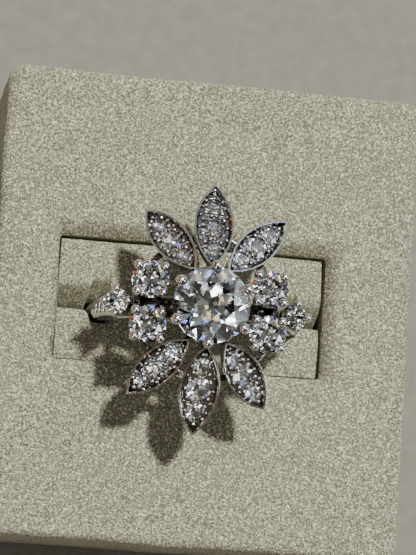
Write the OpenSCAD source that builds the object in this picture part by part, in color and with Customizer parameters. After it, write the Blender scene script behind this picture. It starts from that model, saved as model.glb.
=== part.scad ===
// A diamond cluster ring standing in the slot of a suede-covered ring-box pad.
// The origin is the middle of the pad's underside: X runs along the slot, Y along the finger and Z up.
// The ring has a frame of its own at the middle of the finger hole, with the same directions.

/* [Band] */
// Inner diameter of the finger hole
finger_d = 17; // [16:0.5:20]
// Thickness of the band from the finger hole to its crown
band_t = 1.5; // [1.3:0.1:2]
// Width of the band along the finger
band_w = 2; // [1.8:0.1:2.4]
// Radius of the dome across the outside of the band
band_dome_r = 1.25; // [1.25:0.05:2]
// How far the shoulder arms rise above the round of the band
arm_rise = 1.3; // [1:0.1:1.6]
// Width of the shoulder arms along the finger
arm_w = 1.7; // [1.4:0.1:1.8]
// Radius of the grooves across each shoulder
groove_r = 0.17; // [0.1:0.01:0.22]

/* [Centre stone] */
// Diameter of the centre stone at its girdle
centre_d = 7.1; // [6.5:0.1:7.2]
// Height of the centre stone's girdle above the bridge of the band
head_rise = 3.5; // [3.3:0.1:4.2]
// Thickness of the six prong wires
centre_wire_d = 0.9; // [0.7:0.02:1]
// Diameter of the rounded claw at the end of each wire
centre_claw_d = 1.06; // [0.96:0.02:1.2]

/* [Side stones] */
// Diameter of the four side stones
side_d = 3.45; // [3:0.05:3.6]
// Distance of the side stones from the middle, along the band
side_x = 5.5; // [5.4:0.05:5.8]
// Distance of the side stones from the middle, along the finger
side_y = 2.05; // [1.95:0.05:2.3]
// How far the side stones' girdles sit below the centre stone's
side_drop = 1.5; // [1.2:0.1:1.8]
// Thickness of the prong wires that hold a side stone
side_wire_d = 0.7; // [0.56:0.02:0.76]
// Diameter of the claws that hold a side stone
side_claw_d = 0.92; // [0.84:0.02:1]

/* [Shoulder stones] */
// Diameter of the two shoulder stones
shoulder_d = 2.35; // [2.1:0.05:2.5]
// Distance of the shoulder stones from the middle, along the band
shoulder_x = 8.25; // [8.15:0.05:8.6]
// How far the shoulder stones' girdles sit below the centre stone's
shoulder_drop = 2.9; // [2.6:0.1:3.1]
// Outward lean of the shoulder stones, in degrees
shoulder_lean = 27; // [20:1:32]
// Thickness of the prong wires that hold a shoulder stone
shoulder_wire_d = 0.6; // [0.48:0.02:0.64]
// Diameter of the claws that hold a shoulder stone
shoulder_claw_d = 0.74; // [0.68:0.02:0.8]

/* [Petals] */
// Length of the longest petals from root to tip
petal_l = 8.45; // [8:0.05:8.8]
// Width of the longest petals
petal_w = 3.65; // [3.4:0.05:3.8]
// Depth of a petal cup from its rim to its underside
petal_t = 1.3; // [1.2:0.05:1.4]
// Distance of the petal roots from the middle of the head
root_r = 3.6; // [3.5:0.05:3.8]
// How far the petal roots sit below the centre stone's girdle
root_drop = 1; // [0.8:0.1:1.2]
// How far the petal tips sit below the centre stone's girdle
tip_drop = 3.6; // [3:0.1:3.9]
// Width of the bright edge on top of a petal's wall
rim_w = 0.16; // [0.1:0.02:0.24]
// How far a petal's wall slopes inwards down to the pocket floor
rim_slope = 0.2; // [0.1:0.02:0.26]
// Depth of the pocket that the petal's stones sit in
pocket_d = 0.45; // [0.35:0.05:0.5]
// How far a petal narrows on each side from its rim to its underside
petal_taper_w = 0.25; // [0.1:0.05:0.35]
// Diameter of the largest petal stone
petal_stone_d = 2.3; // [2:0.05:2.35]
// Diameter of the metal grains that hold the petal stones
grain_d = 0.44; // [0.34:0.02:0.46]

/* [Gallery] */
// Distance of the middle of the gallery ring from the middle of the head
gallery_r = 6.45; // [6.3:0.05:6.6]
// Width of the gallery ring
gallery_w = 0.6; // [0.5:0.05:0.8]
// Height of the gallery ring
gallery_h = 1.1; // [1:0.05:1.3]
// Thickness of the wires from the centre setting to the petals
stem_d = 0.66; // [0.5:0.02:0.8]
// How far past its root a petal is met by its wire
stem_reach = 1.2; // [1.1:0.1:1.4]
// Thickness of the bridge of the band below the centre stone
bridge_t = 1; // [0.8:0.05:1.2]

/* [Pad] */
// Length of the pad along the slot
pad_w = 39.5; // [36:0.5:46]
// Length of the pad across the slot
pad_l = 44; // [41:0.5:50]
// Height of the pad
pad_h = 16; // [15:0.5:18]
// Radius of the pad's upright corners
pad_corner_r = 1.4; // [1.2:0.1:3]
// Rounding of the pad's top edge
pad_edge_r = 0.8; // [0.4:0.1:1.1]
// Length of the well that holds the two foam rolls
well_l = 25.3; // [24.5:0.1:27]
// Width of the well
well_w = 11.6; // [10.5:0.1:13]
// Thickness of the pad below the well
well_floor = 2.9; // [2:0.1:4]
// Radius of the well's upright corners
well_corner_r = 0.8; // [0.4:0.1:1.5]
// Place of the well's middle along the slot, from the pad's middle
well_x = -1.2; // [-2:0.1:1]
// Place of the well's middle across the slot, from the pad's middle
well_y = 0.35; // [-0.4:0.05:0.8]
// Place of the ring along the slot, from the pad's middle
ring_x = -0.85; // [-1.5:0.05:0]
// Place of the slot and the ring across the pad, from the pad's middle
slot_y = -0.65; // [-1:0.05:0]
// How far the rolls' tops lie below the top of the pad
roll_sink = 0.3; // [0.1:0.1:1]
// How much the rolls' tops are rounded down at their edges
roll_round = 0.9; // [0.4:0.1:1.4]

/* [Hidden] */
$fn = 72;

// Gap between a stone and its metal seat
stone_gap = 0.03;
// Gap between the ring and the foam, and between the foam and the walls of the well
foam_gap = 0.1;
// Half of the closed slit between the two rolls
slit_half = 0.03;
// Distance from the band at which the foam has closed to the slit again
foam_flare = 1.4;
// Small overshoot of a cutter past the face that it opens
past = 0.02;

finger_r = finger_d / 2;
band_r = finger_r + band_t;
// Height of the middle of the finger hole above the pad's underside
axis_z = well_floor + foam_gap + band_r;
// Height of the centre stone's girdle above the middle of the finger hole
head_h = finger_r + bridge_t + head_rise;
// How far one piece of metal reaches into another that it is soldered to
bite = 0.3;

// Shares of a round stone's diameter: table, crown height, girdle, pavilion depth and open culet
TABLE = 0.55;
CROWN = 0.16;
GIRDLE = 0.03;
PAVILION = 0.425;
CULET = 0.07;
// The first ring of facet corners lies this share of the way down the crown, or up the pavilion
CROWN_BREAK = 0.5;
PAVILION_BREAK = 0.28;

// The angles on the band, above the level of its middle, between which an arm runs
arm_from = 12;
arm_to = 62;
GROOVE_ANGLES = [19, 23, 27];

// Number of prongs round a stone, and their angle from the band's plane: centre, side and shoulder stones
centre_prongs = 6;
centre_angle = 27;
side_prongs = 4;
side_angle = 45;
shoulder_prongs = 4;
shoulder_angle = 0;

// Places of the side stones as signs of X and Y, and of the shoulder stones as signs of X
SIDE_SIGNS = [[-1, 1], [-1, -1], [1, -1], [1, 1]];
SHOULDER_SIGNS = [-1, 1];

// One row for each petal: angle of its root round the head, angle that it points to,
// length and width as shares of petal_l and petal_w, and how far its tip grain runs on as a share of grain_d
PETALS = [
    [90, 88.6, 1, 1, 1],
    [115.5, 129, 0.9, 0.91, 0],
    [-118.5, -134.6, 0.9, 0.87, 0],
    [-91, -93, 0.99, 1, 0],
    [-63, -51.2, 0.885, 0.93, 0],
    [66, 44.6, 0.98, 0.88, 0]
];
// One row for each stone of a petal: its place as a share of the petal's length,
// and its diameter as a share of petal_stone_d, which shorter petals scale down
PETAL_STONES = [[0.25, 0.74], [0.5, 1], [0.745, 0.76]];
// Grains stand round each petal stone at this angle to the petal's length
grain_angle = 52;
// Distance of the grains from the stone's edge, as a share of their diameter
grain_off = 0.2;
// Place of the tip grain as a share of the petal's length
TIP_GRAIN = 0.885;
// A tip grain that runs on starts further out by this share of its run, and is this much thinner between its ends
BEAD_START = 0.25;
BEAD_NECK = 0.9;
// Drilled opening under each petal stone, as a share of the stone's diameter
AZURE = 0.42;

// Baskets: radii and height of the foot ring, and place and height of the rail, as shares of the stone's diameter
FOOT_IN = 0.2;
FOOT_OUT = 0.325;
FOOT_H = 0.11;
RAIL_LOW = 0.26;
RAIL_H = 0.07;
// The rail reaches in and out from the middle of the wires by these shares of their thickness
RAIL_IN = 0.45;
RAIL_OUT = 0.35;
// A wire ends this share of its thickness outside the stone's edge
WIRE_OUT = 0.15;
// A claw's middle lies above the girdle, and further in than its wire, by these shares of its diameter
CLAW_UP = 0.42;
CLAW_IN = 0.16;
// Depth of a shoulder basket below its girdle, as a share of the stone's diameter
SHOULDER_FOOT = 0.56;
// The post below a shoulder basket narrows upwards between these shares of the radius of its foot ring
POST_LOW = 1.1;
POST_TOP = 0.9;

// How far the top of the gallery ring reaches into the highest petal above it
gallery_bite = 0.18;
// How far the foot of a side basket reaches down into the gallery ring
side_bite = 0.22;
// How far the middle of a stem's end reaches into its petal, and its start lies above the bridge
stem_bite = 0.15;
stem_rise = 0.1;

// Shape of a petal seen from above: its length, its half width and the radius of its two sides
function petal_len(p) = petal_l * PETALS[p][2];
function petal_half_w(p) = petal_w * PETALS[p][3] / 2;
function petal_side_r(p) = (pow(petal_len(p) / 2, 2) + pow(petal_half_w(p), 2)) / (2 * petal_half_w(p));
function petal_droop(p) = asin((tip_drop - root_drop) / petal_len(p));
function petal_stone_size(p, s) = petal_stone_d * PETAL_STONES[s][1] * PETALS[p][2];

// Height of a petal's underside, from the centre girdle, at a distance r from the middle of the head
function underside(p, r) = -root_drop - (r - root_r) * tan(petal_droop(p)) - petal_t / cos(petal_droop(p));

// Height of the top of the gallery ring, from the centre girdle
gallery_top = max([for (p = [0:len(PETALS) - 1]) underside(p, gallery_r)]) + gallery_bite;

// Frames
module at_ring() {
    translate([ring_x, slot_y, axis_z]) children();
}

module at_head() {
    at_ring() translate([0, 0, head_h]) children();
}

module at_centre() {
    at_head() rotate([0, 0, centre_angle]) children();
}

module at_side(i) {
    at_head() translate([side_x * SIDE_SIGNS[i][0], side_y * SIDE_SIGNS[i][1], -side_drop]) children();
}

module at_shoulder(i) {
    at_head()
        translate([shoulder_x * SHOULDER_SIGNS[i], 0, -shoulder_drop])
        rotate([0, shoulder_lean * SHOULDER_SIGNS[i], 0])
        children();
}

// X runs along the petal from its root to its tip, and Z = 0 is the top of its rim
module at_petal(p) {
    at_head()
        rotate([0, 0, PETALS[p][0]])
        translate([root_r, 0, -root_drop])
        rotate([0, 0, PETALS[p][1] - PETALS[p][0]])
        rotate([0, petal_droop(p), 0])
        children();
}

module at_petal_stone(p, s) {
    at_petal(p) translate([petal_len(p) * PETAL_STONES[s][0], 0, -pocket_d]) children();
}

// Turns a shape that was drawn round Z so that it lies round the finger
module round_finger() {
    rotate([90, 0, 0]) children();
}

// Stones
// A point on ring r at a turn counted in sixteenths
function ring_point(r, step, z) = [r * cos(22.5 * step), r * sin(22.5 * step), z];

// Eight points, a sixteenth turn past the first eight if half is 1
function ring_of_8(r, z, half) = [for (k = [0:7]) ring_point(r, 2 * k + half, z)];

// A radius that puts a corner between two main facets onto both of their planes
function corner_r(x) = x / cos(22.5);

// Radius and height of each ring of corners on a stone of diameter d, from the table down to the culet
function table_ring(d) = [d / 2 * TABLE, d * (CROWN + GIRDLE / 2)];
function crown_ring(d) = let (at = between(table_ring(d), [d / 2, d * GIRDLE / 2], CROWN_BREAK))
    [corner_r(at[0]), at[1]];
function pavilion_ring(d) = let (at = between(culet_line(d), [d / 2, -d * GIRDLE / 2], PAVILION_BREAK))
    [corner_r(at[0]), at[1]];
function culet_ring(d) = [corner_r(culet_line(d)[0]), culet_line(d)[1]];
function culet_line(d) = [d / 2 * CULET, -d * (PAVILION + GIRDLE / 2)];
function between(from, to, share) = from + (to - from) * share;

// A brilliant of diameter d: table, stars, kites and halves above the girdle, halves and mains below.
// Corners 0-7 table, 8-15 crown, 16-31 and 32-47 girdle, 48-55 pavilion, 56-63 culet.
module brilliant(d) {
    girdle_z = d * GIRDLE / 2;
    points = concat(
        ring_of_8(table_ring(d)[0], table_ring(d)[1], 0),
        ring_of_8(crown_ring(d)[0], crown_ring(d)[1], 1),
        [for (k = [0:15]) ring_point(d / 2, k, girdle_z)],
        [for (k = [0:15]) ring_point(d / 2, k, -girdle_z)],
        ring_of_8(pavilion_ring(d)[0], pavilion_ring(d)[1], 1),
        ring_of_8(culet_ring(d)[0], culet_ring(d)[1], 1)
    );
    faces = concat(
        [[for (k = [7:-1:0]) k]],
        [for (k = [0:7]) [k, (k + 1) % 8, 8 + k]],
        [for (k = [0:7]) [k, 8 + k, 16 + 2 * k, 8 + (k + 7) % 8]],
        [for (k = [0:7]) [8 + k, 17 + 2 * k, 16 + 2 * k]],
        [for (k = [0:7]) [8 + k, 16 + (2 * k + 2) % 16, 17 + 2 * k]],
        [for (k = [0:15]) [16 + k, 16 + (k + 1) % 16, 32 + (k + 1) % 16, 32 + k]],
        [for (k = [0:7]) [48 + k, 32 + 2 * k, 33 + 2 * k]],
        [for (k = [0:7]) [48 + k, 33 + 2 * k, 32 + (2 * k + 2) % 16]],
        [for (k = [0:7]) [32 + 2 * k, 48 + k, 56 + k, 56 + (k + 7) % 8, 48 + (k + 7) % 8]],
        [[for (k = [0:7]) 56 + k]]
    );
    polyhedron(points = points, faces = faces);
}

// Heights of a single cut's girdle between two facets, where they meet it further up or down than in their middles
function table_line(d) = [table_ring(d)[0] * cos(22.5), table_ring(d)[1]];
function girdle_corner(d, line, z) = z + d / 2 * (1 - cos(22.5)) * (line[1] - z) / (d / 2 - line[0]);
function girdle_high(d) = girdle_corner(d, table_line(d), d * GIRDLE / 2);
function girdle_low(d) = girdle_corner(d, culet_line(d), -d * GIRDLE / 2);

// A single cut of diameter d: table, eight facets above the girdle, eight below and a small culet.
// Corners 0-7 table, 8-23 and 24-39 girdle, 40-47 culet.
module single_cut(d) {
    girdle_z = d * GIRDLE / 2;
    points = concat(
        ring_of_8(table_ring(d)[0], table_ring(d)[1], 0),
        [for (k = [0:15]) ring_point(d / 2, k, k % 2 == 0 ? girdle_high(d) : girdle_z)],
        [for (k = [0:15]) ring_point(d / 2, k, k % 2 == 0 ? girdle_low(d) : -girdle_z)],
        ring_of_8(culet_ring(d)[0], culet_ring(d)[1], 0)
    );
    faces = concat(
        [[for (k = [7:-1:0]) k]],
        [for (k = [0:7]) [k, (k + 1) % 8, 8 + (2 * k + 2) % 16, 9 + 2 * k, 8 + 2 * k]],
        [for (k = [0:15]) [8 + k, 8 + (k + 1) % 16, 24 + (k + 1) % 16, 24 + k]],
        [for (k = [0:7]) [24 + 2 * k, 25 + 2 * k, 24 + (2 * k + 2) % 16, 40 + (k + 1) % 8, 40 + k]],
        [[for (k = [0:7]) 40 + k]]
    );
    polyhedron(points = points, faces = faces);
}

// The round room that a stone takes, with its gap: the stone's corners below and above its girdle, from the culet up
module stone_room(below, above) {
    low = [for (corner = below) corner + [stone_gap, -stone_gap]];
    high = [for (corner = above) corner + [stone_gap, stone_gap]];
    rotate_extrude() polygon(concat([[0, low[0][1]]], low, high, [[0, high[len(high) - 1][1]]]));
}

module brilliant_room(d) {
    stone_room(
        [culet_ring(d), pavilion_ring(d), [d / 2, -d * GIRDLE / 2]],
        [[d / 2, d * GIRDLE / 2], crown_ring(d), table_ring(d)]
    );
}

module single_cut_room(d) {
    stone_room([culet_ring(d), [d / 2, girdle_low(d)]], [[d / 2, girdle_high(d)], table_ring(d)]);
}

module centre_stone() {
    color("white") at_centre() brilliant(centre_d);
}

module side_stone(i) {
    color("white") at_side(i) brilliant(side_d);
}

module shoulder_stone(i) {
    color("white") at_shoulder(i) brilliant(shoulder_d);
}

module petal_stone(p, s) {
    color("white") at_petal_stone(p, s) single_cut(petal_stone_size(p, s));
}

// Band
// Section of a band with flat sides and a domed outside: X is the radius, Y lies along the finger
module domed_section(inner_r, outer_r, w) {
    intersection() {
        translate([inner_r, -w / 2]) square([outer_r - inner_r, w]);
        translate([outer_r - band_dome_r, 0]) circle(r = band_dome_r);
    }
}

// One shoulder arm, drawn on the right: a stretch of a circle that is arm_rise above the finger's middle
module arm() {
    arm_t = band_t + arm_rise * sin(arm_from) - stone_gap;
    translate([0, 0, arm_rise])
        round_finger()
        rotate([0, 0, arm_from])
        rotate_extrude(angle = arm_to - arm_from)
        domed_section(band_r - arm_t, band_r, arm_w);
}

module shoulder_grooves() {
    for (a = GROOVE_ANGLES)
        translate([band_r * cos(a), 0, band_r * sin(a) + arm_rise])
            round_finger()
            cylinder(r = groove_r, h = band_w + 2 * past, center = true);
}

// The flat under the centre stone, filed across the top of the band
module bridge_flat() {
    reach = sqrt(pow(band_r, 2) - pow(finger_r + bridge_t, 2)) + past;
    translate([-reach, -band_w / 2 - past, finger_r + bridge_t])
        cube([2 * reach, band_w + 2 * past, band_t]);
}

module shank() {
    difference() {
        union() {
            round_finger() rotate_extrude() domed_section(finger_r, band_r, band_w);
            arm();
            mirror([1, 0, 0]) arm();
        }
        shoulder_grooves();
        mirror([1, 0, 0]) shoulder_grooves();
        bridge_flat();
    }
}

// Settings
// A flat ring round Z between two radii and two heights
module flat_ring(r_in, r_out, z_low, z_high) {
    translate([0, 0, z_low])
        rotate_extrude()
        translate([r_in, 0])
        square([r_out - r_in, z_high - z_low]);
}

// A straight wire in the plane of X and Z
module wire(from_r, from_z, to_r, to_z, d) {
    run = to_r - from_r;
    rise = to_z - from_z;
    translate([from_r, 0, from_z])
        rotate([0, atan2(run, rise), 0])
        cylinder(d = d, h = norm([run, rise]));
}

// A basket for a round stone, with its girdle at Z = 0 and its foot this deep below it:
// foot ring, rail, and wires that end in claws
module basket(d, depth, wire_d, claw_d, prongs, turn) {
    foot_r = d * (FOOT_IN + FOOT_OUT) / 2;
    tip_r = d / 2 + wire_d * WIRE_OUT;
    tip_z = claw_d * CLAW_UP;
    rail_z = -d * RAIL_LOW;
    rail_r = foot_r + (tip_r - foot_r) * (rail_z + depth) / (tip_z + depth);
    flat_ring(d * FOOT_IN, d * FOOT_OUT, -depth, -depth + d * FOOT_H);
    flat_ring(rail_r - wire_d * RAIL_IN, rail_r + wire_d * RAIL_OUT, rail_z, rail_z + d * RAIL_H);
    for (k = [0:prongs - 1])
        rotate([0, 0, turn + 360 * k / prongs]) {
            wire(foot_r, -depth + d * FOOT_H / 2, tip_r, tip_z, wire_d);
            translate([tip_r - claw_d * CLAW_IN, 0, tip_z]) sphere(d = claw_d);
        }
}

// The post that carries a shoulder basket: it runs from the basket's foot ring down into the arm
module shoulder_post() {
    depth = shoulder_d * SHOULDER_FOOT;
    foot = [
        shoulder_x - depth * sin(shoulder_lean),
        head_h - shoulder_drop - depth * cos(shoulder_lean) - arm_rise
    ];
    down = norm(foot) - band_r + bite;
    foot_out = shoulder_d * FOOT_OUT;
    translate([0, 0, -depth - down])
        cylinder(r1 = foot_out * POST_LOW, r2 = foot_out * POST_TOP, h = down + shoulder_d * FOOT_H / 2);
}

// The centre basket on the bridge, the side baskets on the gallery ring and the shoulder baskets on their posts
module settings() {
    side_foot = side_bite - gallery_top - side_drop;
    shoulder_foot = shoulder_d * SHOULDER_FOOT;
    at_head() basket(centre_d, head_rise + bite, centre_wire_d, centre_claw_d, centre_prongs, centre_angle);
    for (i = [0:len(SIDE_SIGNS) - 1])
        at_side(i) basket(side_d, side_foot, side_wire_d, side_claw_d, side_prongs, side_angle);
    for (i = [0:len(SHOULDER_SIGNS) - 1])
        at_shoulder(i) {
            basket(shoulder_d, shoulder_foot, shoulder_wire_d, shoulder_claw_d, shoulder_prongs, shoulder_angle);
            shoulder_post();
        }
}

// Gallery
// A ring under the petals and the side baskets, which joins them to the arms
module gallery() {
    at_head()
        flat_ring(gallery_r - gallery_w / 2, gallery_r + gallery_w / 2, gallery_top - gallery_h, gallery_top);
}

// A wire from the foot of the centre basket to the underside of each petal
module stems() {
    to_r = root_r + stem_reach;
    at_head()
        for (p = [0:len(PETALS) - 1])
            rotate([0, 0, PETALS[p][0]])
            wire(centre_d * FOOT_OUT - bite, stem_rise - head_rise, to_r, underside(p, to_r) + stem_bite, stem_d);
}

// Petals
// The pointed oval of petal p between two heights, drawn in by low_in and high_in on each side
module pointed_oval(p, z_low, z_high, low_in, high_in) {
    r = petal_side_r(p);
    off = r - petal_half_w(p);
    translate([petal_len(p) / 2, 0, z_low])
        intersection() {
            translate([0, off, 0]) cylinder(r1 = r - low_in, r2 = r - high_in, h = z_high - z_low);
            translate([0, -off, 0]) cylinder(r1 = r - low_in, r2 = r - high_in, h = z_high - z_low);
        }
}

// Four grains round each stone, and one at the tip that can run on
module grains(p) {
    for (s = [0:len(PETAL_STONES) - 1]) {
        r = petal_stone_size(p, s) / 2 + grain_d * grain_off;
        for (a = [grain_angle, 180 - grain_angle, 180 + grain_angle, -grain_angle])
            translate([petal_len(p) * PETAL_STONES[s][0] + r * cos(a), r * sin(a), -pocket_d])
                sphere(d = grain_d);
    }
    tip_l = grain_d * PETALS[p][4];
    translate([petal_len(p) * TIP_GRAIN + tip_l * BEAD_START, 0, -pocket_d]) {
        sphere(d = grain_d);
        if (tip_l > 0) {
            rotate([0, 90, 0]) cylinder(d = grain_d * BEAD_NECK, h = tip_l);
            translate([tip_l, 0, 0]) sphere(d = grain_d);
        }
    }
}

// A petal cup, with a hole drilled through its floor under each stone
module petal(p) {
    at_petal(p)
        difference() {
            union() {
                difference() {
                    pointed_oval(p, -petal_t, 0, petal_taper_w, 0);
                    pointed_oval(p, -pocket_d, past, rim_w + rim_slope, rim_w - past);
                }
                grains(p);
            }
            for (s = [0:len(PETAL_STONES) - 1])
                translate([petal_len(p) * PETAL_STONES[s][0], 0, -petal_t - past])
                    cylinder(d = petal_stone_size(p, s) * AZURE, h = petal_t);
        }
}

// All the soldered metal, with the seats of the stones cut last
module ring_mount() {
    color("silver") difference() {
        union() {
            at_ring() shank();
            settings();
            gallery();
            stems();
            for (p = [0:len(PETALS) - 1]) petal(p);
        }
        at_centre() brilliant_room(centre_d);
        for (i = [0:len(SIDE_SIGNS) - 1]) at_side(i) brilliant_room(side_d);
        for (i = [0:len(SHOULDER_SIGNS) - 1]) at_shoulder(i) brilliant_room(shoulder_d);
        for (p = [0:len(PETALS) - 1], s = [0:len(PETAL_STONES) - 1])
            at_petal_stone(p, s) single_cut_room(petal_stone_size(p, s));
    }
}

// Pad
// Outline of the well, drawn in by a gap on all sides
module well_outline(gap) {
    translate([well_x, well_y])
        hull()
        at_corners(well_l - 2 * gap, well_w - 2 * gap, well_corner_r)
        circle(r = well_corner_r, $fn = 32);
}

// Places children at the four corners of a rectangle, set in by inset
module at_corners(l, w, inset) {
    for (sx = [-1, 1], sy = [-1, 1])
        translate([sx * (l / 2 - inset), sy * (w / 2 - inset), 0]) children();
}

// The rounding of the pad's top edge at a corner, as a section out from the corner's middle
module edge_quarter() {
    intersection() {
        translate([pad_corner_r - pad_edge_r, 0]) circle(r = pad_edge_r, $fn = 24);
        square([pad_corner_r, pad_edge_r]);
    }
}

module pad_block() {
    color("tan") difference() {
        hull() {
            at_corners(pad_w, pad_l, pad_corner_r)
                cylinder(r = pad_corner_r, h = pad_h - pad_edge_r, $fn = 32);
            at_corners(pad_w, pad_l, pad_corner_r)
                translate([0, 0, pad_h - pad_edge_r])
                rotate_extrude($fn = 32)
                edge_quarter();
        }
        translate([0, 0, well_floor]) linear_extrude(height = pad_h) well_outline(0);
    }
}

// Section of a foam roll between two places across the pad: X is across, Y is up
module roll_section(y_low, y_high) {
    w = y_high - y_low;
    top = pad_h - roll_sink;
    r = (pow(w / 2, 2) + pow(roll_round, 2)) / (2 * roll_round);
    intersection() {
        translate([y_low, well_floor + foam_gap]) square([w, top - well_floor - foam_gap + past]);
        union() {
            translate([(y_low + y_high) / 2, top - r]) circle(r = r);
            translate([y_low, well_floor]) square([w, top - well_floor - 2 * roll_round]);
        }
    }
}

// The room that the band takes in the foam, closing to the slit outside and inside the band
module band_room() {
    half = band_w / 2 + foam_gap / 2;
    at_ring() round_finger() rotate_extrude() polygon([
        [finger_r - foam_gap - foam_flare, 0],
        [finger_r - foam_gap, -half],
        [band_r + foam_gap, -half],
        [band_r + foam_gap + foam_flare, 0],
        [band_r + foam_gap, half],
        [finger_r - foam_gap, half]
    ]);
}

module roll(y_low, y_high) {
    difference() {
        intersection() {
            translate([well_x - well_l / 2, 0, 0])
                rotate([90, 0, 90])
                linear_extrude(height = well_l)
                roll_section(y_low, y_high);
            linear_extrude(height = pad_h) well_outline(foam_gap);
        }
        band_room();
    }
}

module roll_back() {
    color("tan") roll(slot_y + slit_half, well_y + well_w / 2);
}

module roll_front() {
    color("tan") roll(well_y - well_w / 2, slot_y - slit_half);
}

pad_block();
roll_back();
roll_front();
ring_mount();
centre_stone();
for (i = [0:len(SIDE_SIGNS) - 1])
    side_stone(i);
for (i = [0:len(SHOULDER_SIGNS) - 1])
    shoulder_stone(i);
for (p = [0:len(PETALS) - 1], s = [0:len(PETAL_STONES) - 1])
    petal_stone(p, s);
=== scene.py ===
import math

import bpy
import numpy as np
from mathutils import Matrix, Vector
from mathutils.kdtree import KDTree


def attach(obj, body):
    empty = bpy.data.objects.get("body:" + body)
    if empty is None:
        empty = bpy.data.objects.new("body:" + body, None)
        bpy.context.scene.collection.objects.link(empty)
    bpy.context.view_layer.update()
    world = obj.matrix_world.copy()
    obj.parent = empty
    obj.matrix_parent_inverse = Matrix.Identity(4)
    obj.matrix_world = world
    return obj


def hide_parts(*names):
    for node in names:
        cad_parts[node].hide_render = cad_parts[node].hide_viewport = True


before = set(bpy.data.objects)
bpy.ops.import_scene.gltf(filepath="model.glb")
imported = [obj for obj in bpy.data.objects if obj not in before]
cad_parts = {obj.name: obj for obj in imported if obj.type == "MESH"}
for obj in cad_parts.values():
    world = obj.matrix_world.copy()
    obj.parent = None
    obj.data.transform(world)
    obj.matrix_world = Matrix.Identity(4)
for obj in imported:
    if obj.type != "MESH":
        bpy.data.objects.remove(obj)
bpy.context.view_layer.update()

MM = 0.001

# Camera
# The ring is looked down on from above its head, a little from the front and the left.
# The eye stands 225 mm above the pad, with a long lens and no shift.
EYE = Vector((-36.24, -32.70, 251.00)) * MM
TO_EYE = Vector((-0.15142, -0.14967, 0.97707))
IMAGE_UP = Vector((-0.08770, 0.98661, 0.13754))

camera_data = bpy.data.cameras.new("camera")
camera_data.sensor_fit = "VERTICAL"
camera_data.sensor_height = 36.0
camera_data.lens = 166.5
camera_data.clip_start = 0.01
camera_data.clip_end = 20.0
camera = bpy.data.objects.new("camera", camera_data)
bpy.context.scene.collection.objects.link(camera)
image_right = IMAGE_UP.cross(TO_EYE).normalized()
axes = Matrix((image_right, TO_EYE.cross(image_right), TO_EYE)).transposed()
camera.matrix_world = Matrix.Translation(EYE) @ axes.to_4x4()
bpy.context.scene.camera = camera

# Pad
# The pad is a block of stiff foam in a flocked suede cover. The cover is drawn over the block's
# edges and round a soft lip down into the well, where it is glued to the floor.
PAD_W, PAD_L, PAD_H = 39.5 * MM, 44.0 * MM, 16.0 * MM
PAD_CORNER, PAD_EDGE = 1.4 * MM, 0.8 * MM
WELL_X, WELL_Y = -1.2 * MM, 0.35 * MM
WELL_L, WELL_W = 25.3 * MM, 11.6 * MM
WELL_FLOOR, WELL_CORNER = 2.9 * MM, 0.4 * MM
LIP_LEFT, LIP_RIGHT, LIP_FRONT, LIP_BACK = 0.9 * MM, 1.4 * MM, 0.8 * MM, 1.75 * MM
DROP_LEFT, DROP_RIGHT, DROP_FRONT, DROP_BACK = 0.35 * MM, 0.80 * MM, 0.30 * MM, 0.85 * MM
LIP_CURVE = 1.6
# Down to this depth the flock gets no painted shade
UNSHADED_DEPTH = 0.02 * MM


def outline(half_x, half_y, corner, n_x=44, n_y=50, n_arc=12):
    """A rounded rectangle as a loop of points: one quarter is a straight run up, a quarter circle
    and a straight run back, and the other three are its mirror images in turn."""
    turn = np.linspace(0, np.pi / 2, n_arc)
    up = np.linspace(0, half_y - corner, n_y, endpoint=False)
    back = np.linspace(half_x - corner, 0, n_x)[1:]
    x = np.concatenate([np.full(n_y, half_x), half_x - corner + corner * np.cos(turn), back])
    y = np.concatenate([up, half_y - corner + corner * np.sin(turn), np.full(n_x - 1, half_y)])
    x = np.concatenate([x[:-1], -x[:0:-1], -x[:-1], x[:0:-1]])
    y = np.concatenate([y[:-1], y[:0:-1], -y[:-1], -y[:0:-1]])
    return np.stack([x, y], axis=1)


def ring(half_x, half_y, corner, z, centre=(0, 0)):
    """The outline at one height, round a centre."""
    flat = outline(half_x, half_y, corner) + np.array(centre)
    return np.column_stack([flat, np.broadcast_to(z, len(flat))])


def ripple(points, wavelength, seed, waves=26):
    """Smooth noise at each point: the sum of plane waves of about one wavelength, in random
    directions and with random phases, scaled to a spread of about one."""
    rng = np.random.default_rng(seed)
    way = rng.normal(size=(waves, 3))
    way /= np.linalg.norm(way, axis=1, keepdims=True)
    number = 2 * np.pi / (wavelength * rng.uniform(0.7, 1.5, waves))
    phase = rng.uniform(0, 2 * np.pi, waves)
    return np.sin(points @ (way * number[:, None]).T + phase).sum(axis=-1) / math.sqrt(waves / 2)


def grid_normals(grid):
    """Unit normals of a surface that is closed along its second parameter: the cross product of
    the differences along the two parameters."""
    along = np.gradient(grid, axis=0)
    around = np.roll(grid, -1, axis=1) - np.roll(grid, 1, axis=1)
    normal = np.cross(around, along)
    return normal / np.maximum(np.linalg.norm(normal, axis=2, keepdims=True), 1e-12)


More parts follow.
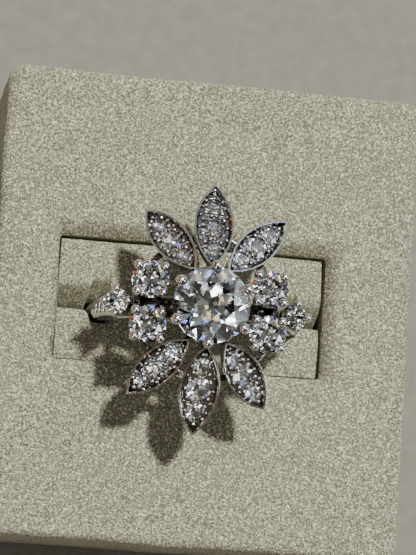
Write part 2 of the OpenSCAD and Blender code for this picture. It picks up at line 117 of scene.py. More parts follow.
def tube_mesh(name, grid, shade):
    """A mesh from a grid of rings: each ring is joined to the next by quads, and the first and the
    last ring are closed with one face each. It is turned right side out by its signed volume. The
    painted shade of each point, from 0 to 1, is kept with it."""
    rings, around = grid.shape[:2]
    a = np.arange((rings - 1) * around).reshape(rings - 1, around)
    beside = np.roll(a, -1, 1)
    quads = np.stack([a, beside, beside + around, a + around], axis=2).reshape(-1, 4)
    caps = [np.arange(around)[::-1], np.arange(around) + (rings - 1) * around]
    points = grid.reshape(-1, 3)
    p = points[quads]
    volume = np.einsum("ij,ij->i", p[:, 0], np.cross(p[:, 1], p[:, 2])).sum()
    volume += np.einsum("ij,ij->i", p[:, 0], np.cross(p[:, 2], p[:, 3])).sum()
    faces = quads.tolist() + [c.tolist() for c in caps]
    if volume < 0:
        faces = [f[::-1] for f in faces]
    mesh = bpy.data.meshes.new(name)
    mesh.from_pydata(points.tolist(), [], faces)
    mesh.polygons.foreach_set("use_smooth", np.ones(len(faces), bool))
    mesh.attributes.new("shade", "FLOAT", "POINT").data.foreach_set("value", shade.reshape(-1))
    mesh.update()
    piece = bpy.data.objects.new(name, mesh)
    bpy.context.scene.collection.objects.link(piece)
    return piece


def painted_sunk_shade(depth):
    """Painted shade: how much darker the flock is painted with its depth below the top, standing in for
    the shade in the well and on its slopes: it rises fast over the first half millimetre and slowly after
    that."""
    depth = np.maximum(depth, 0) / MM
    return 0.42 * (1 - np.exp(-depth / 0.35)) + 0.30 * (1 - np.exp(-depth / 1.6))


def well_ring(share, z):
    """The well's outline at one height, grown on each side by a share of the lip there."""
    half_x = (WELL_L + (LIP_LEFT + LIP_RIGHT) * share) / 2
    half_y = (WELL_W + (LIP_FRONT + LIP_BACK) * share) / 2
    centre = (WELL_X + (LIP_RIGHT - LIP_LEFT) * share / 2,
              WELL_Y + (LIP_BACK - LIP_FRONT) * share / 2)
    return ring(half_x, half_y, WELL_CORNER + LIP_LEFT * share, z, centre)


def pad_cover():
    """The cover and the painted shade of its points: rings from the middle of the underside outwards, up
    the walls, over the rounded edge, across the top to the well's lip, round the lip, which falls by a
    power of the way in, and down to the well's floor. Slow and short ripples lift it."""
    hx, hy = PAD_W / 2, PAD_L / 2
    rings = [ring(hx - d, hy - d, PAD_CORNER, 0.0) for d in np.linspace(6, 0.3, 8) * MM]
    for z in np.linspace(0.3 * MM, PAD_H - PAD_EDGE, 34):
        rings.append(ring(hx, hy, PAD_CORNER, z))
    for turn in np.linspace(0, np.pi / 2, 10)[1:]:
        inset = PAD_EDGE * (1 - math.cos(turn))
        z = PAD_H - PAD_EDGE * (1 - math.sin(turn))
        rings.append(ring(hx - inset, hy - inset, PAD_CORNER - inset, z))
    rim = rings[-1]
    lip = well_ring(1, PAD_H)
    for share in np.linspace(0, 1, 52)[1:]:
        rings.append(rim + (lip - rim) * share)
    across_top = len(rings)
    right = lip[:, 0] - WELL_X - WELL_L / 2
    left = WELL_X - WELL_L / 2 - lip[:, 0]
    back = lip[:, 1] - WELL_Y - WELL_W / 2
    front = WELL_Y - WELL_W / 2 - lip[:, 1]
    sides = ((right, LIP_RIGHT, DROP_RIGHT), (left, LIP_LEFT, DROP_LEFT),
             (back, LIP_BACK, DROP_BACK), (front, LIP_FRONT, DROP_FRONT))
    drop = np.max([fall * np.clip(out / reach, 0, 1) for out, reach, fall in sides], axis=0)
    for share in np.linspace(0, 1, 12)[1:]:
        rings.append(well_ring(1 - share, PAD_H - drop * share ** LIP_CURVE))
    for share in np.linspace(0, 1, 22)[1:]:
        rings.append(well_ring(0, (PAD_H - drop) * (1 - share) + WELL_FLOOR * share))
    grid = np.array(rings)
    in_well = np.arange(len(grid)) >= across_top
    # Painted shade: the flock darkens with depth in the well, but the front lip, which faces the lamp,
    # keeps only a quarter of it
    lamp_facing_front = 1 - 0.75 * (front > LIP_FRONT / 2)
    shade = painted_sunk_shade(PAD_H - UNSHADED_DEPTH - grid[..., 2]) * in_well[:, None] * lamp_facing_front
    lift = 0.045 * MM * ripple(grid, 9 * MM, 11) + 0.012 * MM * ripple(grid, 1.6 * MM, 12)
    above_foot = np.clip(grid[..., 2] / (1.5 * MM), 0, 1)
    return grid + grid_normals(grid) * (lift * above_foot)[..., None], shade


def node_group(name, inputs, outputs):
    """A shader node group with its inputs, as (name, kind, value), and outputs, as (name, kind)."""
    group = bpy.data.node_groups.new(name, "ShaderNodeTree")
    for label, kind, value in inputs:
        socket = group.interface.new_socket(label, in_out="INPUT", socket_type=kind)
        if value is not None:
            socket.default_value = value
    for label, kind in outputs:
        group.interface.new_socket(label, in_out="OUTPUT", socket_type=kind)
    return group, group.nodes.new("NodeGroupInput"), group.nodes.new("NodeGroupOutput")


def noise_node(tree, vector, scale, detail=3.0, roughness=0.6):
    """A noise texture on the given vector."""
    node = tree.nodes.new("ShaderNodeTexNoise")
    node.inputs["Detail"].default_value = detail
    node.inputs["Roughness"].default_value = roughness
    node.inputs["Scale"].default_value = scale
    tree.links.new(vector, node.inputs["Vector"])
    return node.outputs["Fac"]


def ramp_node(tree, value, low, high, from_value=0.0, to_value=1.0):
    """A value carried smoothly from one range to another, and held at its ends."""
    node = tree.nodes.new("ShaderNodeMapRange")
    node.interpolation_type = "SMOOTHSTEP"
    node.inputs["From Min"].default_value = low
    node.inputs["From Max"].default_value = high
    node.inputs["To Min"].default_value = from_value
    node.inputs["To Max"].default_value = to_value
    tree.links.new(value, node.inputs["Value"])
    return node.outputs["Result"]


def mix_node(tree, factor, first, second):
    """A mix of two colours, each one a socket or a plain colour."""
    node = tree.nodes.new("ShaderNodeMix")
    node.data_type = "RGBA"
    tree.links.new(factor, node.inputs["Factor"])
    for slot_name, colour in (("A", first), ("B", second)):
        socket = [s for s in node.inputs if s.name == slot_name and s.type == "RGBA"][0]
        if isinstance(colour, bpy.types.NodeSocket):
            tree.links.new(colour, socket)
        else:
            socket.default_value = (*colour, 1.0)
    return [s for s in node.outputs if s.type == "RGBA"][0]


def flock_group():
    """Flock: short fibres that stand up and lean. Their colour carries painted light and shade: lighter
    tips, darker gaps down to near black where the fur is low, and a few painted glints, with broad
    patches of uneven tone. The height makes a fine fur."""
    group, inside, out = node_group(
        "flock",
        [("Vector", "NodeSocketVector", None), ("Base", "NodeSocketColor", (0.5, 0.5, 0.5, 1)),
         ("Dark", "NodeSocketColor", (0.2, 0.2, 0.2, 1)), ("Light", "NodeSocketColor", (0.8, 0.8, 0.8, 1))],
        [("Color", "NodeSocketColor"), ("Height", "NodeSocketFloat")])
    where = inside.outputs["Vector"]
    fine = noise_node(group, where, 7200, 1.0, 0.5)
    tips = noise_node(group, where, 5400, 1.0, 0.5)
    clumps = noise_node(group, where, 2500, 2.0, 0.5)
    patches = noise_node(group, where, 190, 2.0, 0.5)
    painted_glints = noise_node(group, where, 4600, 0.0, 0.5)
    base, dark, light = inside.outputs["Base"], inside.outputs["Dark"], inside.outputs["Light"]
    # Painted shade: darker where the fine fur is low, between the fibres
    colour = mix_node(group, ramp_node(group, fine, 0.38, 0.60), dark, base)
    # Painted light on the fibre tips
    colour = mix_node(group, ramp_node(group, tips, 0.50, 0.66, 0.0, 0.7), colour, light)
    # Painted shade where the clumps are low
    colour = mix_node(group, ramp_node(group, clumps, 0.30, 0.55, 0.25, 0.0), colour, dark)
    colour = mix_node(group, ramp_node(group, patches, 0.35, 0.7, 0.0, 0.10), colour, dark)
    # Painted glints: a few bright specks
    colour = mix_node(group, ramp_node(group, painted_glints, 0.66, 0.72), colour, light)
    group.links.new(colour, out.inputs["Color"])
    add = group.nodes.new("ShaderNodeMath")
    add.operation = "MULTIPLY_ADD"
    add.inputs[1].default_value = 0.45
    group.links.new(clumps, add.inputs[0])
    group.links.new(fine, add.inputs[2])
    group.links.new(add.outputs[0], out.inputs["Height"])
    return group


FLOCK = flock_group()


def surface_material(name):
    """A material with its Principled shader and the piece's own coordinates."""
    material = bpy.data.materials.new(name)
    material.use_nodes = True
    tree = material.node_tree
    shader = tree.nodes["Principled BSDF"]
    where = tree.nodes.new("ShaderNodeTexCoord").outputs["Object"]
    return material, tree, shader, where


def bump_node(tree, height, strength, distance):
    """A bump from a height."""
    node = tree.nodes.new("ShaderNodeBump")
    node.inputs["Strength"].default_value = strength
    node.inputs["Distance"].default_value = distance
    tree.links.new(height, node.inputs["Height"])
    return node.outputs["Normal"]


def suede(name, base, dark, light):
    """Flocked suede: rough, with a soft sheen from the fibre tips, and painted shade that makes it browner
    and darker where it is sunk.
    """
    material, tree, shader, where = surface_material(name)
    flock = tree.nodes.new("ShaderNodeGroup")
    flock.node_tree = FLOCK
    tree.links.new(where, flock.inputs["Vector"])
    flock.inputs["Base"].default_value = (*base, 1)
    flock.inputs["Dark"].default_value = (*dark, 1)
    flock.inputs["Light"].default_value = (*light, 1)
    # The painted shade of each point, read from its attribute, darkens the flock towards a dark brown
    sunk = tree.nodes.new("ShaderNodeAttribute")
    sunk.attribute_name = "shade"
    colour = mix_node(tree, sunk.outputs["Fac"], flock.outputs["Color"], (0.055, 0.043, 0.027))
    tree.links.new(colour, shader.inputs["Base Color"])
    tree.links.new(bump_node(tree, flock.outputs["Height"], 0.8, 0.15 * MM), shader.inputs["Normal"])
    shader.inputs["Roughness"].default_value = 0.92
    shader.inputs["Specular IOR Level"].default_value = 0.25
    shader.inputs["Sheen Weight"].default_value = 0.25
    shader.inputs["Sheen Roughness"].default_value = 0.5
    shader.inputs["Sheen Tint"].default_value = (1.0, 0.95, 0.82, 1)
    return material


pad = tube_mesh("pad_cover", *pad_cover())
pad_cloth = suede("suede_cover", (0.418, 0.424, 0.300), (0.145, 0.146, 0.100), (0.88, 0.90, 0.64))
pad.data.materials.append(pad_cloth)
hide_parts("pad_block")
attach(pad, "root")

# Stray fibres
# A few loose fibres lie on the pad: pale, dark and reddish ones, finer than a hair and slightly bent.
FIBRE_R, FIBRE_LIFT, FIBRE_ARC = 0.024 * MM, 0.06 * MM, 0.16 * MM
# Three places along each fibre, in millimetres across and along the pad, and its colour
FIBRES = (
    ((14.05, 3.90), (14.47, 3.46), (14.87, 3.21), (0.95, 0.95, 0.85)),
    ((13.46, 4.04), (13.96, 3.89), (14.46, 3.55), (0.85, 0.85, 0.75)),
    ((16.99, 6.95), (17.46, 7.28), (17.82, 7.70), (0.95, 0.90, 0.75)),
    ((14.39, 1.44), (14.98, 1.21), (15.68, 0.79), (0.80, 0.80, 0.68)),
    ((-11.94, -6.64), (-11.57, -7.26), (-12.02, -8.04), (0.05, 0.05, 0.03)),
    ((-14.01, -3.08), (-14.04, -3.92), (-13.75, -4.74), (0.16, 0.07, 0.04)),
)


def fibre_grid(first, middle, last):
    """A thin tube along the quadratic curve through three places: rings of six points, drawn in at
    the ends and raised in the middle of the fibre by a low arc."""
    share = np.linspace(0, 1, 15)[:, None]
    first, middle, last = np.array(first), np.array(middle), np.array(last)
    bend = 2 * middle - (first + last) / 2
    flat = ((1 - share) ** 2 * first + 2 * share * (1 - share) * bend + share ** 2 * last) * MM
    line = np.hstack([flat, PAD_H + FIBRE_LIFT + FIBRE_ARC * np.sin(np.pi * share)])
    way = np.gradient(line, axis=0)
    way /= np.linalg.norm(way, axis=1, keepdims=True)
    side = np.cross(way, (0, 0, 1))
    side /= np.linalg.norm(side, axis=1, keepdims=True)
    rise = np.cross(side, way)
    turn = np.linspace(0, 2 * np.pi, 6, endpoint=False)[:, None]
    radius = FIBRE_R * np.clip(4 * np.minimum(share, 1 - share) + 0.35, 0, 1)
    circle = side[:, None] * np.cos(turn) + rise[:, None] * np.sin(turn)
    return line[:, None] + radius[:, None] * circle


def fibre_cloth(name, colour):
    """A dull fibre, unevenly dyed."""
    material, tree, shader, where = surface_material(name)
    uneven = ramp_node(tree, noise_node(tree, where, 3000, 2.0, 0.5), 0.3, 0.7)
    darker = tuple(0.7 * c for c in colour)
    tree.links.new(mix_node(tree, uneven, colour, darker), shader.inputs["Base Color"])
    shader.inputs["Roughness"].default_value = 0.6
    return material


for number, (*places, colour) in enumerate(FIBRES, 1):
    grid = fibre_grid(*places)
    fibre = tube_mesh(f"stray_fibre_{number}", grid, np.zeros(grid.shape[:2]))
    fibre.data.materials.append(fibre_cloth(f"fibre_{number}", colour))
    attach(fibre, "root")

# Foam rolls
# Two lengths of soft foam in the same flocked cloth lie side by side in the well. They meet in the
# slot, are rounded over towards it, and part round the band that is pushed down between them.
SLOT_Y = -0.65 * MM
SLIT = 0.03 * MM
RING_X = -0.85 * MM
AXIS_Z = 13.0 * MM
FINGER_R, BAND_R = 8.5 * MM, 10.0 * MM
# Half the band's width and a small clearance
BAND_ROOM = 1.04 * MM
ROLL_FOOT, ROLL_TOP = 3.0 * MM, 15.75 * MM
ROLL_X = (WELL_X - WELL_L / 2 + 0.05 * MM, WELL_X + WELL_L / 2 - 0.40 * MM)
ROLL_END = 0.12 * MM
BAND_DIP, DIP_REACH, DIP_DEPTH = 0.12 * MM, 1.2 * MM, 2.5 * MM
CLOTH_SCALE, CLOTH_VOXEL, CLOTH_PRESSURE, CLOTH_FRAMES = 25, 0.008, 4, 20
CLOTH_HELD, CLOTH_CAP = 1.2 * MM, 0.12 * MM


def roll_section(width, bevel, shoulder, slit_sink, wall_round, foot_round=0.7 * MM, crown=0.1 * MM):
    """The section of a roll as a closed line of (across, up): across runs from the slit to the wall.
    Towards the slit it falls at the bevel's angle below a round shoulder. The other corners are
    quarter circles, the sides are straight, and the top is a low arc."""
    turn = np.linspace(0, np.pi / 2, 16)
    arc_run, arc_fall = shoulder * math.sin(bevel), shoulder * (1 - math.cos(bevel))
    slope_run = (slit_sink - arc_fall) / math.tan(bevel)
    slope = np.linspace(0, 1, 18)[:-1, None] * (slope_run, slit_sink - arc_fall)
    slope = slope + (0, ROLL_TOP - slit_sink)
    bend = np.linspace(bevel, 0, 14)
    slit_round = slope_run + arc_run
    slit_top = np.vstack([slope, np.column_stack([slit_round - shoulder * np.sin(bend),
                                                  ROLL_TOP - shoulder * (1 - np.cos(bend))])])
    wall_top = np.column_stack([width - wall_round * (1 - np.sin(turn)),
                                ROLL_TOP - wall_round * (1 - np.cos(turn))])
    across = np.linspace(slit_round, width - wall_round, 26)[1:-1]
    middle = np.column_stack([across, np.full(len(across), ROLL_TOP)])
    wall_foot = np.column_stack([width - foot_round * (1 - np.cos(turn)),
                                 ROLL_FOOT + foot_round * (1 - np.sin(turn))])
    slit_foot = np.column_stack([foot_round * (1 - np.sin(turn)),
                                 ROLL_FOOT + foot_round * (1 - np.cos(turn))])
    rise = np.linspace(ROLL_FOOT + foot_round, ROLL_TOP - slit_sink, 30)[1:-1]
    fall = np.linspace(ROLL_TOP - wall_round, ROLL_FOOT + foot_round, 24)[1:-1]
    base = np.linspace(width - foot_round, foot_round, 14)[1:-1]
    line = np.vstack([np.column_stack([np.zeros(len(rise)), rise]), slit_top, middle, wall_top,
                      np.column_stack([np.full(len(fall), width), fall]), wall_foot,
                      np.column_stack([base, np.full(len(base), ROLL_FOOT)]), slit_foot])
    arc = crown * np.sin(np.pi * np.clip(line[:, 0] / width, 0, 1)) * (line[:, 1] > ROLL_TOP - slit_sink)
    return line + np.column_stack([np.zeros(len(line)), arc])


def cloth_rise(grid):
    """How far the foam lifts the cloth over a roll. A much larger copy of the roll is remeshed and
    blown up by Blender's Cloth, held below its top. Each point of the grid takes the mean rise of
    the nearest points of the copy."""
    copy = tube_mesh("cloth_copy", grid * CLOTH_SCALE, np.zeros(grid.shape[:2]))
    voxels = copy.modifiers.new("voxels", "REMESH")
    voxels.mode = "VOXEL"
    voxels.voxel_size = CLOTH_VOXEL
    even = bpy.data.meshes.new_from_object(copy.evaluated_get(bpy.context.evaluated_depsgraph_get()))
    copy.modifiers.clear()
    copy.data = even
    start = np.empty(len(even.vertices) * 3)
    even.vertices.foreach_get("co", start)
    start = start.reshape(-1, 3)
    held = copy.vertex_groups.new(name="held")
    below = start[:, 2] < (ROLL_TOP - CLOTH_HELD) * CLOTH_SCALE
    held.add(np.flatnonzero(below).tolist(), 1.0, "REPLACE")
    cloth = copy.modifiers.new("cloth", "CLOTH")
    cloth.settings.vertex_group_mass = "held"
    cloth.settings.use_pressure = True
    cloth.settings.uniform_pressure_force = CLOTH_PRESSURE
    cloth.settings.effector_weights.gravity = 0
    for step in range(CLOTH_FRAMES):
        bpy.context.scene.frame_set(step + 1)
    blown = np.empty(len(start) * 3)
    swollen = copy.evaluated_get(bpy.context.evaluated_depsgraph_get())
    swollen.data.vertices.foreach_get("co", blown)
    rise = (blown.reshape(-1, 3) - start)[:, 2] / CLOTH_SCALE
    bpy.context.scene.frame_set(1)
    near = KDTree(len(start))
    for number, point in enumerate(start / CLOTH_SCALE):
        near.insert(point, number)
    near.balance()
    rise = np.array([rise[[n for _, n, _ in near.find_n(p, 6)]].mean() for p in grid.reshape(-1, 3)])
    bpy.data.objects.remove(copy)
    return rise.reshape(grid.shape[:2])


def foam_roll(width, side, bevel, shoulder, slit_sink, wall_round, opens_over, seed):
    """A roll and the painted shade of its points: its section is carried along the slot and drawn in at
    both ends by a quarter circle. Each point is pressed away from the slit by the band, by a share that
    falls to nothing at the wall, and that opens from the slit's width to the band's over a short
    stretch. Then the cloth's rise is added, up to its cap. The painted shade darkens the roll with
    its depth below the top, starting lower on the slit side than at the wall."""
    section = roll_section(width, math.radians(bevel), shoulder, slit_sink, wall_round)
    turn = np.linspace(0, np.pi / 2, 9)
    inward = ROLL_END * (1 - np.sin(turn))
    straight = np.linspace(ROLL_X[0] + ROLL_END, ROLL_X[1] - ROLL_END, 150)[1:-1]
    x = np.concatenate([ROLL_X[0] + ROLL_END * (1 - np.cos(turn)), straight,
                        ROLL_X[1] - ROLL_END * (1 - np.cos(turn[::-1]))])
    draw = np.concatenate([inward, np.zeros(len(straight)), inward[::-1]])
    centre = np.array([width / 2, (ROLL_FOOT + ROLL_TOP) / 2])
    half = np.array([width / 2, (ROLL_TOP - ROLL_FOOT) / 2])
    shrink = 1 - draw[:, None, None] / half
    flat = centre + (section[None] - centre) * shrink
    across, z = flat[..., 0], flat[..., 1]
    xx = np.broadcast_to(x[:, None], across.shape)
    from_axis = np.hypot(xx - RING_X, z - AXIS_Z)
    away = np.maximum(np.maximum(FINGER_R - from_axis, from_axis - BAND_R), 0)
    opens = np.clip(1 - away / opens_over, 0, 1) ** 2.2
    pushed = SLIT + (BAND_ROOM - SLIT) * opens
    across = pushed + across * (width - pushed) / width
    dip = BAND_DIP * opens * np.exp(-across / DIP_REACH) * (z > ROLL_TOP - DIP_DEPTH)
    grid = np.stack([xx, SLOT_Y + side * across, z - dip], axis=2)
    grid[..., 2] += np.clip(cloth_rise(grid), 0, CLOTH_CAP)
    lift = 0.03 * MM * ripple(grid, 6 * MM, seed) + 0.010 * MM * ripple(grid, 1.3 * MM, seed + 1)
    normals = grid_normals(grid)
    top = np.clip((grid[..., 2] - ROLL_TOP + 3 * MM) / (1.5 * MM), 0, 1)
    grid += normals * (lift * top)[..., None] * -np.sign((normals[..., 2] * top).sum())
    # Painted shade starts below this depth on each roll: deep on the slit side, shallow near the wall
    lit = np.where(across < width / 2, 0.65 * slit_sink, 1.5 * wall_round)
    return grid, painted_sunk_shade(ROLL_TOP - UNSHADED_DEPTH - lit - z)


rolls = {
    "roll_back": foam_roll(WELL_Y + WELL_W / 2 - 0.25 * MM - SLOT_Y, 1,
                           55, 0.9 * MM, 3.2 * MM, 0.45 * MM, 0.4 * MM, 21),
    "roll_front": foam_roll(SLOT_Y - WELL_Y + WELL_W / 2 - 0.05 * MM, -1,
                            88, 0.3 * MM, 0.35 * MM, 0.12 * MM, 0.7 * MM, 31),
}
roll_cloth = suede("suede_rolls", (0.413, 0.419, 0.296), (0.145, 0.146, 0.100), (0.86, 0.88, 0.62))
for node, (grid, shade) in rolls.items():
    roll = tube_mesh(node + "_cover", grid, shade)
    roll.data.materials.append(roll_cloth)
    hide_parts(node)
    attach(roll, "root")

# Ring mount
# The band, baskets, gallery and petal cups are cast and drawn white gold, soldered into one piece,
# filed and polished. Handling has left fine scratches. Painted shade, with some grime, darkens the
# recesses and the space under the head.
def scratch_group():
    """Fine scratches: thin lines where a stretched noise is high, in two directions."""
    group, inside, out = node_group(
        "scratches", [("Vector", "NodeSocketVector", None)], [("Mask", "NodeSocketFloat")])
    lines = []
    for turn, stretch in (((0.3, 0.2, 0.4), (900, 9000, 900)), ((0.1, 0.9, 1.9), (9000, 1100, 1100))):
        place = group.nodes.new("ShaderNodeMapping")
        place.inputs["Rotation"].default_value = turn
        place.inputs["Scale"].default_value = stretch
        group.links.new(inside.outputs["Vector"], place.inputs["Vector"])
        wavy = noise_node(group, place.outputs["Vector"], 1.0, 2.0, 0.5)
        lines.append(ramp_node(group, wavy, 0.56, 0.66))
    both = group.nodes.new("ShaderNodeMath")
    both.operation = "MAXIMUM"
    group.links.new(lines[0], both.inputs[0])
    group.links.new(lines[1], both.inputs[1])
    group.links.new(both.outputs[0], out.inputs["Mask"])
    return group


def white_gold():
    """Polished white gold: a warm grey metal, rougher in scratches, and darkened by painted shade, with
    some grime, in crevices and in the flat round space under the head that no cloth reaches."""
    material, tree, shader, where = surface_material("white_gold")
    scratches = tree.nodes.new("ShaderNodeGroup")
    scratches.node_tree = scratch_group()
    tree.links.new(where, scratches.inputs["Vector"])
    shade = tree.nodes.new("ShaderNodeAmbientOcclusion")
    shade.samples = 8
    shade.inputs["Distance"].default_value = 0.9 * MM
    # Painted shade with some grime: darker where the occlusion is high, in crevices and pocket floors
    crevices = ramp_node(tree, shade.outputs["AO"], 0.42, 0.97, 0.96, 0.0)
    place = tree.nodes.new("ShaderNodeMapping")
    place.vector_type = "TEXTURE"
    place.inputs["Location"].default_value = (RING_X, SLOT_Y, 21.6 * MM)
    place.inputs["Scale"].default_value = (9.3 * MM, 7.6 * MM, 3.2 * MM)
    tree.links.new(where, place.inputs["Vector"])
    reach = tree.nodes.new("ShaderNodeVectorMath")
    reach.operation = "LENGTH"
    tree.links.new(place.outputs["Vector"], reach.inputs[0])
    # Painted shade under the head, inside a flattened ball round it
    painted_shade_under_head = ramp_node(tree, reach.outputs["Value"], 0.80, 1.0, 0.74, 0.0)
    # Painted shade and grime: the stronger of the two darkenings
    shade_and_grime = tree.nodes.new("ShaderNodeMath")
    shade_and_grime.operation = "MAXIMUM"
    tree.links.new(crevices, shade_and_grime.inputs[0])
    tree.links.new(painted_shade_under_head, shade_and_grime.inputs[1])
    tint = ramp_node(tree, noise_node(tree, where, 420, 2.0, 0.5), 0.3, 0.7)
    polished = mix_node(tree, tint, (0.80, 0.79, 0.77), (0.70, 0.70, 0.70))
    # The painted shade and grime mix the metal towards a dark brown
    colour = mix_node(tree, shade_and_grime.outputs[0], polished, (0.07, 0.055, 0.04))
    tree.links.new(colour, shader.inputs["Base Color"])
    rough = ramp_node(tree, scratches.outputs["Mask"], 0.0, 1.0, 0.10, 0.20)
    tree.links.new(rough, shader.inputs["Roughness"])
    rounded = tree.nodes.new("ShaderNodeBevel")
    rounded.samples = 6
    rounded.inputs["Radius"].default_value = 0.07 * MM
    uneven = bump_node(tree, noise_node(tree, where, 750, 2.0, 0.5), 0.5, 0.035 * MM)
    tree.links.new(rounded.outputs["Normal"], uneven.node.inputs["Normal"])
    tree.links.new(uneven, shader.inputs["Normal"])
    shader.inputs["Metallic"].default_value = 1.0
    return material


def dress(node, material):
    """Gives a CAD node its finished material in every slot it has."""
    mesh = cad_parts[node].data
    mesh.materials.clear()
    mesh.materials.append(material)


dress("ring_mount", white_gold())

# Petal grains
# Between the petal stones and along the walls the floor of each petal is raised into small bright
# grains. They are pushed up out of the same white gold with a graver and rounded with a beading tool.
PETAL_L, PETAL_W, PETAL_STONE = 8.45 * MM, 3.65 * MM, 2.3 * MM
ROOT_R, ROOT_DROP, TIP_DROP, POCKET = 3.6 * MM, 1.0 * MM, 3.6 * MM, 0.45 * MM
WALL_IN, HEAD_RISE = 0.36 * MM, 13.0 * MM
HEAD = Vector((RING_X, SLOT_Y, AXIS_Z + HEAD_RISE))
# For each petal the angle of its root and of its tip's way, and its shares of the length and width
PETALS = ((90, 88.6, 1, 1), (115.5, 129, 0.9, 0.91), (-118.5, -134.6, 0.9, 0.87),
          (-91, -93, 0.99, 1), (-63, -51.2, 0.885, 0.93), (66, 44.6, 0.98, 0.88))
# For each stone its place as a share of the petal's length, and its share of the largest diameter
PETAL_STONES = ((0.25, 0.74), (0.5, 1.0), (0.745, 0.76))


def petal_frame(root_angle, way_angle, length):
    """The petal's own frame: out to its root, turned to its way, and tilted down to its tip."""
    droop = math.asin((TIP_DROP - ROOT_DROP) / length)
    return (Matrix.Translation(HEAD) @ Matrix.Rotation(math.radians(root_angle), 4, "Z")
            @ Matrix.Translation((ROOT_R, 0, -ROOT_DROP))
            @ Matrix.Rotation(math.radians(way_angle - root_angle), 4, "Z")
            @ Matrix.Rotation(droop, 4, "Y"))


def grain_places():
    """Middles and radii of the grains on every petal: two beside each stone, two side by side in
    each gap between stones, two where each gap meets the walls, and two at the root."""
    rng = np.random.default_rng(7)
    middles, radii = [], []
    for root_angle, way_angle, long_share, wide_share in PETALS:
        length, half = PETAL_L * long_share, PETAL_W * wide_share / 2
        side_r = ((length / 2) ** 2 + half ** 2) / (2 * half)

        def floor_half(x):
            return math.sqrt(side_r ** 2 - (x - length / 2) ** 2) - side_r + half - WALL_IN

        spots = [(0.11 * length, 0.16 * MM)]
        edges = [(length * at, long_share * PETAL_STONE * size / 2) for at, size in PETAL_STONES]
        for x, r in edges:
            spots.append((x, r + 0.16 * MM))
        for (x1, r1), (x2, r2) in zip(edges, edges[1:]):
            x = (x1 + r1 + x2 - r2) / 2
            spots += [(x, 0.18 * MM), (x, floor_half(x) - 0.10 * MM)]
        local = np.array([(x, side * y, -POCKET) for x, y in spots for side in (-1, 1)])
        local[:, :2] += rng.uniform(-0.03, 0.03, (len(local), 2)) * MM
        place = np.array(petal_frame(root_angle, way_angle, length))
        middles.append(local @ place[:3, :3].T + place[:3, 3])
        radii.append(rng.uniform(0.17, 0.25, len(local)) * MM)
    return np.concatenate(middles), np.concatenate(radii)


def grains_mesh(name, middles, radii, rings=7, around=10):
    """Every grain is a small ball: rings of points from pole to pole, joined by quads and closed
    with a small face at each pole."""
    up = np.linspace(0.04, np.pi - 0.04, rings)
    turn = np.linspace(0, 2 * np.pi, around, endpoint=False)
    ball = np.stack([np.outer(np.sin(up), np.cos(turn)), np.outer(np.sin(up), np.sin(turn)),
                     np.outer(np.cos(up), np.ones(around))], axis=2).reshape(-1, 3)
    points = (middles[:, None] + radii[:, None, None] * ball).reshape(-1, 3)
    a = np.arange((rings - 1) * around).reshape(rings - 1, around)
    beside = np.roll(a, -1, 1)
    quads = np.stack([a, a + around, beside + around, beside], axis=2).reshape(-1, 4)
    first = np.arange(len(middles)) * len(ball)
    faces = (first[:, None, None] + quads).reshape(-1, 4).tolist()
    faces += (first[:, None] + np.arange(around)).tolist()
    faces += (first[:, None] + len(ball) - 1 - np.arange(around)).tolist()
    mesh = bpy.data.meshes.new(name)
    mesh.from_pydata(points.tolist(), [], faces)
    mesh.polygons.foreach_set("use_smooth", np.ones(len(faces), bool))
    mesh.update()
    piece = bpy.data.objects.new(name, mesh)
    bpy.context.scene.collection.objects.link(piece)
    return piece


grains = grains_mesh("petal_grains", *grain_places())
grains.data.materials.append(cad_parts["ring_mount"].data.materials[0])
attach(grains, "root")

# Stones
# The centre stone and the stones round it are old-cut diamonds held by rounded claws, and the petals
# carry smaller single cuts between grains. They are worn and a little dusty.
def diamond(name, tint, polish, haze):
    """Diamond: clear, with faint smoky zones, fine polish lines, and a film of dust in patches."""
    material, tree, shader, where = surface_material(name)
    zones = ramp_node(tree, noise_node(tree, where, 900, 2.0, 0.5), 0.35, 0.7)
    tree.links.new(mix_node(tree, zones, (1.0, 1.0, 1.0), tint), shader.inputs["Base Color"])
    dust = ramp_node(tree, noise_node(tree, where, 3300, 4.0, 0.6), 0.40, 0.78, polish, haze)
    tree.links.new(dust, shader.inputs["Roughness"])
    worn = bump_node(tree, noise_node(tree, where, 700, 1.0, 0.5), 0.25, 0.03 * MM)
    tree.links.new(worn, shader.inputs["Normal"])
    shader.inputs["IOR"].default_value = 2.42
    shader.inputs["Transmission Weight"].default_value = 1.0
    return material


centre_diamond = diamond("centre_diamond", (0.94, 0.97, 1.0), 0.012, 0.05)
side_diamond = diamond("side_diamonds", (0.92, 0.89, 0.85), 0.02, 0.08)
petal_diamond = diamond("petal_diamonds", (0.62, 0.57, 0.51), 0.03, 0.09)
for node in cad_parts:
    if node == "centre_stone":
        dress(node, centre_diamond)
    elif node.startswith(("side_stone", "shoulder_stone")):
        dress(node, side_diamond)
    elif node.startswith("petal"):
        dress(node, petal_diamond)

# Floor and light
# A plain pale floor under the pad, one soft lamp high on the right behind it, and a dim room whose
# patches give the stones and the metal something to reflect.
def floor_material():
    """A plain matt floor with a fine uneven grain."""
    material, tree, shader, where = surface_material("floor")
    grain = ramp_node(tree, noise_node(tree, where, 600, 4.0, 0.6), 0.3, 0.7)
    colour = mix_node(tree, grain, (0.27, 0.258, 0.222), (0.31, 0.297, 0.26))
    tree.links.new(colour, shader.inputs["Base Color"])
    shader.inputs["Roughness"].default_value = 0.85
    return material


floor_mesh = bpy.data.meshes.new("floor")
floor_mesh.from_pydata([(-1, -1, 0), (1, -1, 0), (1, 1, 0), (-1, 1, 0)], [], [(0, 1, 2, 3)])
floor = bpy.data.objects.new("floor", floor_mesh)
bpy.context.scene.collection.objects.link(floor)
floor_mesh.materials.append(floor_material())


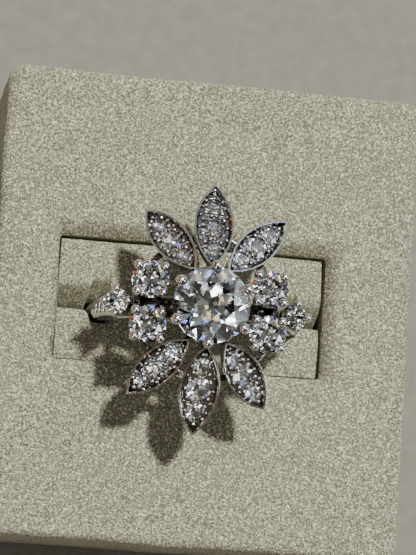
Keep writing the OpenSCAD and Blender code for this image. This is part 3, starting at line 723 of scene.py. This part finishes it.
def direction(azimuth, elevation):
    """The unit vector towards a place in the sky, from its angles in degrees."""
    a, e = math.radians(azimuth), math.radians(elevation)
    return Vector((math.cos(e) * math.cos(a), math.cos(e) * math.sin(a), math.sin(e)))


key_data = bpy.data.lights.new("key", "AREA")
key_data.shape = "RECTANGLE"
key_data.size, key_data.size_y = 0.225, 0.225
key_data.energy = 105.0
key_data.color = (1.0, 0.97, 0.90)
key = bpy.data.objects.new("key", key_data)
to_key = direction(61, 64.5)
KEY_DISTANCE = 3.0
key_place = Matrix.Translation(Vector((RING_X, SLOT_Y, 22 * MM)) + to_key * KEY_DISTANCE)
key.matrix_world = key_place @ to_key.to_track_quat("Z", "Y").to_matrix().to_4x4()
bpy.context.scene.collection.objects.link(key)


def lobe(tree, where, azimuth, elevation, inner, outer):
    """A round soft-edged patch of the sky: one within the inner angle of a direction, nothing
    beyond the outer angle, from the dot product of the two directions."""
    node = tree.nodes.new("ShaderNodeVectorMath")
    node.operation = "DOT_PRODUCT"
    node.inputs[1].default_value = direction(azimuth, elevation)
    tree.links.new(where, node.inputs[0])
    outer_cos, inner_cos = math.cos(math.radians(outer)), math.cos(math.radians(inner))
    return ramp_node(tree, node.outputs["Value"], outer_cos, inner_cos)


# For each patch its azimuth and elevation, its inner and outer angle in degrees, and its light
METAL_LOBES = (
    (-55, 58, 24, 34, (0.11, 0.092, 0.062)), (221, 66, 9, 16, (0.15, 0.115, 0.09)),
    (-8, 3, 12, 18, (0.95, 1.03, 1.12)), (28, 2, 12, 18, (1.1, 1.22, 1.34)),
    (66, 3, 12, 18, (1.1, 1.26, 1.42)), (100, 4, 10, 16, (0.95, 1.07, 1.2)),
    (112, 52, 8, 14, (0.26, 0.22, 0.20)), (80, 45, 8, 15, (0.20, 0.235, 0.275)),
    (45, 42, 8, 14, (0.62, 0.73, 0.85)), (150, 8, 9, 13, (2.1, 0.62, 0.12)),
    (187, 20, 5, 9, (1.9, 0.56, 0.11)), (12, 66, 6, 8, (10.0, 9.7, 9.2)),
    (152, 73, 5, 7, (10.0, 9.8, 9.8)), (300, 79, 4, 6, (9.0, 8.7, 8.0)),
    (236, 40, 6, 8, (8.5, 8.0, 7.2)), (342, 33, 7, 9, (7.6, 8.2, 9.0)),
)
# For each sort of light in the stones its noise's scale and detail, its edges and its colour
STONE_LIGHTS = (
    (6.1, 0.0, 0.68, 0.73, (12.0, 12.0, 12.0)),
    (8.3, 0.0, 0.72, 0.75, (0.8, 0.95, 3.0)),
    (7.1, 1.0, 0.71, 0.74, (2.0, 1.6, 0.85)),
)


def studio_world():
    """A dim room. The suede is filled by its plain warm shade. The metal mirrors cards, openings and
    small lamps in it, and the stones draw their light from a finer play of bright and dark patches,
    with a few violet and amber lights among them."""
    room = bpy.data.worlds.new("studio")
    room.use_nodes = True
    tree = room.node_tree
    where = tree.nodes.new("ShaderNodeTexCoord").outputs["Generated"]
    tint = ramp_node(tree, noise_node(tree, where, 2.2, 0.0, 0.5), 0.42, 0.58)
    # What the metal mirrors
    openings = ramp_node(tree, noise_node(tree, where, 4.3, 1.0, 0.5), 0.59, 0.65)
    metal = mix_node(tree, openings, (0.040, 0.034, 0.029),
                     mix_node(tree, tint, (1.0, 1.15, 1.35), (1.35, 1.2, 1.05)))
    for azimuth, elevation, inner, outer, colour in METAL_LOBES:
        metal = mix_node(tree, lobe(tree, where, azimuth, elevation, inner, outer), metal, colour)
    # What the stones gather
    shades = ramp_node(tree, noise_node(tree, where, 2.9, 2.0, 0.5), 0.38, 0.66)
    stones = mix_node(tree, shades, (0.050, 0.046, 0.040),
                     mix_node(tree, tint, (0.27, 0.335, 0.345), (0.29, 0.28, 0.245)))
    patches = ramp_node(tree, noise_node(tree, where, 3.9, 1.0, 0.5), 0.57, 0.66)
    bright = mix_node(tree, tint, (0.98, 1.28, 1.32), (1.32, 1.30, 1.14))
    stones = mix_node(tree, patches, stones, bright)
    for scale, detail, low, high, colour in STONE_LIGHTS:
        spots = ramp_node(tree, noise_node(tree, where, scale, detail, 0.5), low, high)
        stones = mix_node(tree, spots, stones, colour)
    ray = tree.nodes.new("ShaderNodeLightPath")
    shade = mix_node(tree, ray.outputs["Is Glossy Ray"], (0.225, 0.197, 0.200), metal)
    shade = mix_node(tree, ray.outputs["Is Transmission Ray"], shade, stones)
    tree.links.new(shade, tree.nodes["Background"].inputs["Color"])
    tree.nodes["Background"].inputs["Strength"].default_value = 1.0
    return room


bpy.context.scene.world = studio_world()
